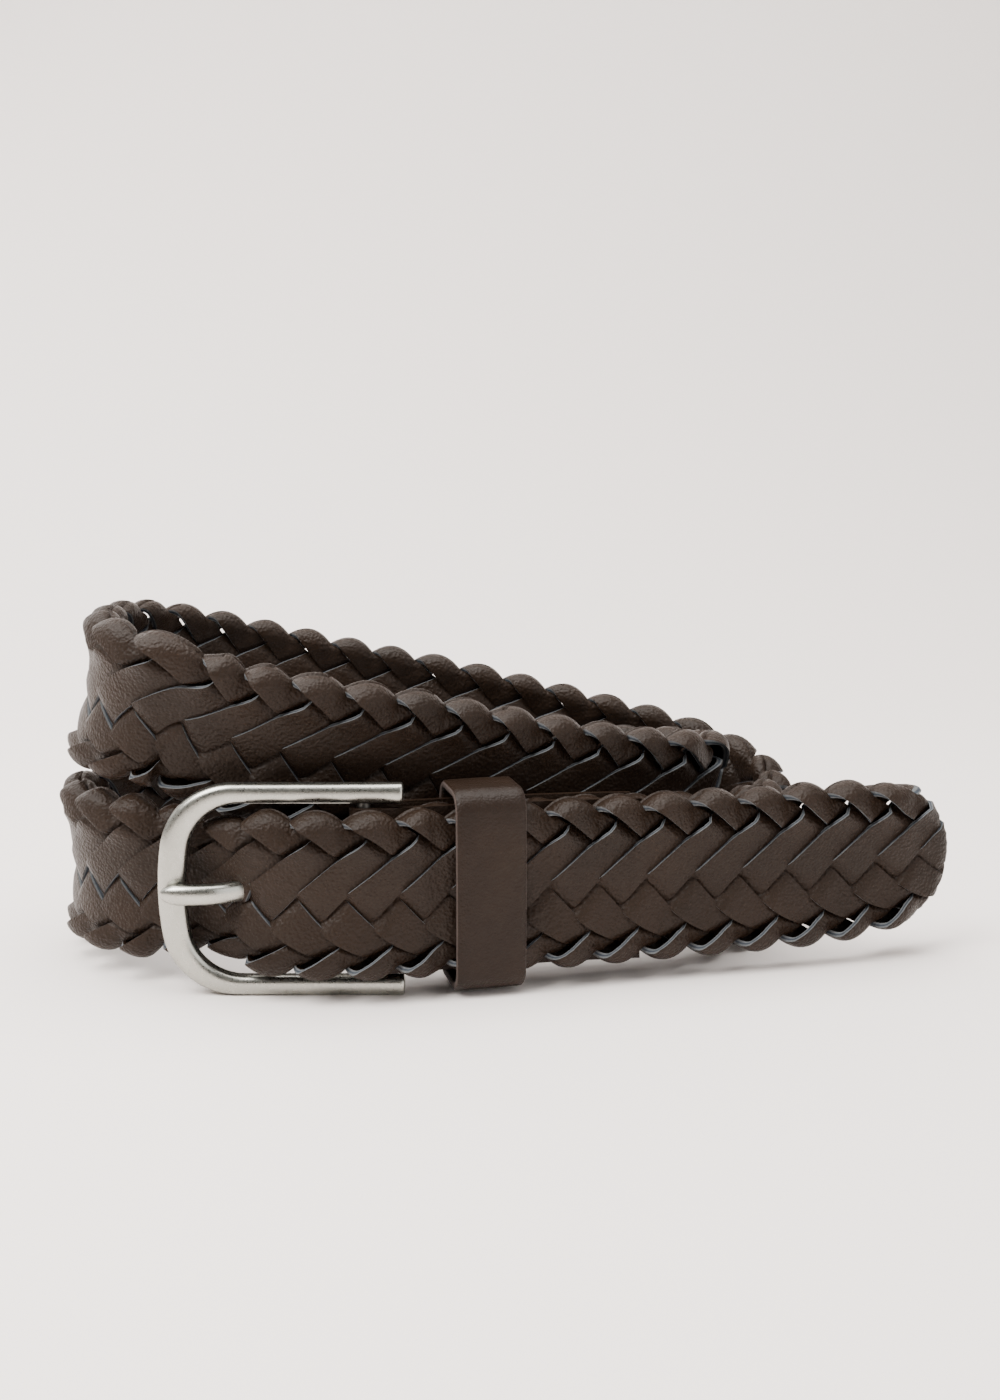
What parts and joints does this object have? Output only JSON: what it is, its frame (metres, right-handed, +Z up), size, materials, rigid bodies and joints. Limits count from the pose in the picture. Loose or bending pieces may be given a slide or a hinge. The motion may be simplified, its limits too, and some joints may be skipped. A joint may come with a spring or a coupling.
{
  "type": "braided leather belt",
  "caption": "Braided leather belt with a satin metal prong buckle, buckled and coiled in two turns on its edge.",
  "frame": {"origin": "middle of the coiled belt in X and Y, on the surface it stands on", "axes": "+X along the buckled front run towards the strap's tip, +Y from the buckle side to the back of the coil, +Z up"},
  "size_m": [0.1918, 0.0818, 0.0764],
  "materials": {
    "satin_metal": "satin",
    "staple_metal": "satin",
    "smooth_leather": "semi-matt, fine grain",
    "braided_leather": "semi-matt, pebbled grain",
    "thread": "matt"
  },
  "bodies": {
    "strap": {"tab": "smooth_leather", "tab_stitching": "thread", "strand_1": "braided_leather", "strand_2": "braided_leather", "strand_3": "braided_leather", "strand_4": "braided_leather", "strand_5": "braided_leather", "strand_6": "braided_leather", "strand_7": "braided_leather", "strand_8": "braided_leather"},
    "buckle": {"buckle_frame": "satin_metal", "buckle_bar": "satin_metal"},
    "prong": {"prong": "satin_metal"},
    "keeper": {"keeper_loop": "smooth_leather", "keeper_staple": "staple_metal"}
  },
  "joints": [
    {"name": "buckle_pivot", "type": "hinge", "parent": "strap", "child": "buckle", "pos_m": [-0.02911, -0.03323, 0.0222], "axis": [0, 0, 1], "range_deg": [-0.5, 3]},
    {"name": "prong_pivot", "type": "hinge", "parent": "buckle", "child": "prong", "pos_m": [-0.02911, -0.03323, 0.0222], "axis": [0, 0, 1], "range_deg": [0, 3]},
    {"name": "keeper_slide", "type": "slide", "parent": "strap", "child": "keeper", "axis": [0.9701, 0.2425, 0], "range_m": [-0.003, 0.004]}
  ]
}
